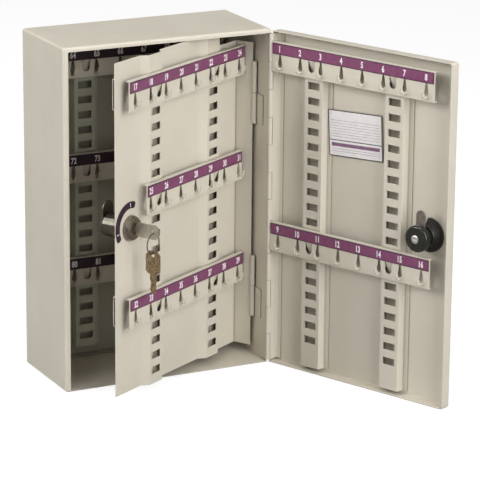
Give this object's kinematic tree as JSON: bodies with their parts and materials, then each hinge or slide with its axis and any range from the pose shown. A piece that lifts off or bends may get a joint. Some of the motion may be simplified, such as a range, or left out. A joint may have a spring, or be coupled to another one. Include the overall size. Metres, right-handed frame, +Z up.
{
  "type": "key cabinet",
  "caption": "Wall-mounted steel key cabinet with a hinged outer door, a swinging inner key panel, slotted strips with numbered hook bars, cam locks and keys.",
  "frame": {"origin": "centre of the cabinet's back face, which lies against the wall", "axes": "+X to the viewer's right, +Y towards the wall, +Z up; the door opens towards -Y"},
  "size_m": [0.4162, 0.3935, 0.45],
  "materials": {
    "grey_paint": "semi-gloss warm grey powder coat",
    "label_film": "printed purple plastic film",
    "card": "blank printed card",
    "black_plastic": "black moulded plastic",
    "zinc_steel": "zinc plated steel",
    "bright_nickel": "bright nickel plate",
    "worn_brass": "worn key brass"
  },
  "bodies": {
    "root": {"cabinet_shell": "grey_paint", "cabinet_back": "grey_paint", "panel_keeper": "grey_paint", "hinge_frame_leaf": "grey_paint", "hinge_pin": "zinc_steel", "back_strip_left": "grey_paint", "back_strip_right": "grey_paint", "back_bar_top": "grey_paint", "back_bar_top_label": "label_film", "back_bar_middle": "grey_paint", "back_bar_middle_label": "label_film", "back_bar_bottom": "grey_paint", "back_bar_bottom_label": "label_film", "upper_lift_hinge_wall_half": "grey_paint", "upper_lift_hinge_pin": "zinc_steel", "lower_lift_hinge_wall_half": "grey_paint", "lower_lift_hinge_pin": "zinc_steel"},
    "door": {"door_tray": "grey_paint", "hinge_door_leaf": "grey_paint", "door_card": "card", "door_lock_housing": "black_plastic", "door_lock_disc": "black_plastic", "door_strip_hinge_side": "grey_paint", "door_strip_free_side": "grey_paint", "door_bar_top": "grey_paint", "door_bar_top_label": "label_film", "door_bar_bottom": "grey_paint", "door_bar_bottom_label": "label_film"},
    "inner_panel": {"inner_panel": "grey_paint", "panel_rear_strip_hinge_side": "grey_paint", "panel_rear_strip_free_side": "grey_paint", "panel_front_bar_top": "grey_paint", "panel_front_bar_top_label": "label_film", "panel_front_bar_middle": "grey_paint", "panel_front_bar_middle_label": "label_film", "panel_front_bar_bottom": "grey_paint", "panel_front_bar_bottom_label": "label_film", "panel_rear_bar_top": "grey_paint", "panel_rear_bar_top_label": "label_film", "panel_rear_bar_middle": "grey_paint", "panel_rear_bar_middle_label": "label_film", "panel_rear_bar_bottom": "grey_paint", "panel_rear_bar_bottom_label": "label_film", "upper_lift_hinge_panel_half": "grey_paint", "lower_lift_hinge_panel_half": "grey_paint", "panel_lock_body": "bright_nickel", "panel_lock_sleeve": "bright_nickel", "turn_label": "label_film"},
    "door_lock": {"door_lock_plug": "zinc_steel", "door_lock_cam": "zinc_steel", "door_lock_cap": "black_plastic", "door_lock_screw": "zinc_steel"},
    "panel_lock": {"panel_lock_plug": "bright_nickel", "panel_lock_cam": "bright_nickel", "panel_lock_screw": "bright_nickel", "panel_key": "bright_nickel"},
    "key_ring": {"key_ring": "bright_nickel"},
    "spare_key": {"spare_key": "worn_brass"}
  },
  "joints": [
    {"name": "door_hinge", "type": "hinge", "parent": "root", "child": "door", "pos_m": [0.145, -0.13, 0], "axis": [0, 0, 1], "range_deg": [-113, 62]},
    {"name": "inner_panel_hinge", "type": "hinge", "parent": "root", "child": "inner_panel", "pos_m": [0.1405, -0.093, 0], "axis": [0, 0, 1], "range_deg": [-30.4, 16.7]},
    {"name": "door_lock_turn", "type": "hinge", "parent": "door", "child": "door_lock", "pos_m": [0.24229, -0.35921, -0.0045], "axis": [0.9205, 0.3907, 0], "range_deg": [0, 90]},
    {"name": "panel_lock_turn", "type": "hinge", "parent": "inner_panel", "child": "panel_lock", "pos_m": [-0.06607, -0.21419, 0.002], "axis": [0.506, -0.8625, 0], "range_deg": [0, 90]},
    {"name": "key_ring_swing", "type": "hinge", "parent": "panel_lock", "child": "key_ring", "pos_m": [-0.06304, -0.21937, 0.002], "axis": [0.8625, 0.506, 0], "range_deg": [-6, 6]},
    {"name": "spare_key_swing", "type": "hinge", "parent": "key_ring", "child": "spare_key", "pos_m": [-0.06304, -0.21937, -0.0278], "axis": [0.8625, 0.506, 0], "range_deg": [-6, 6]}
  ],
  "couplings": [
    {"joint": "inner_panel_hinge", "follows": "door_hinge", "ratio": 0.269}
  ]
}
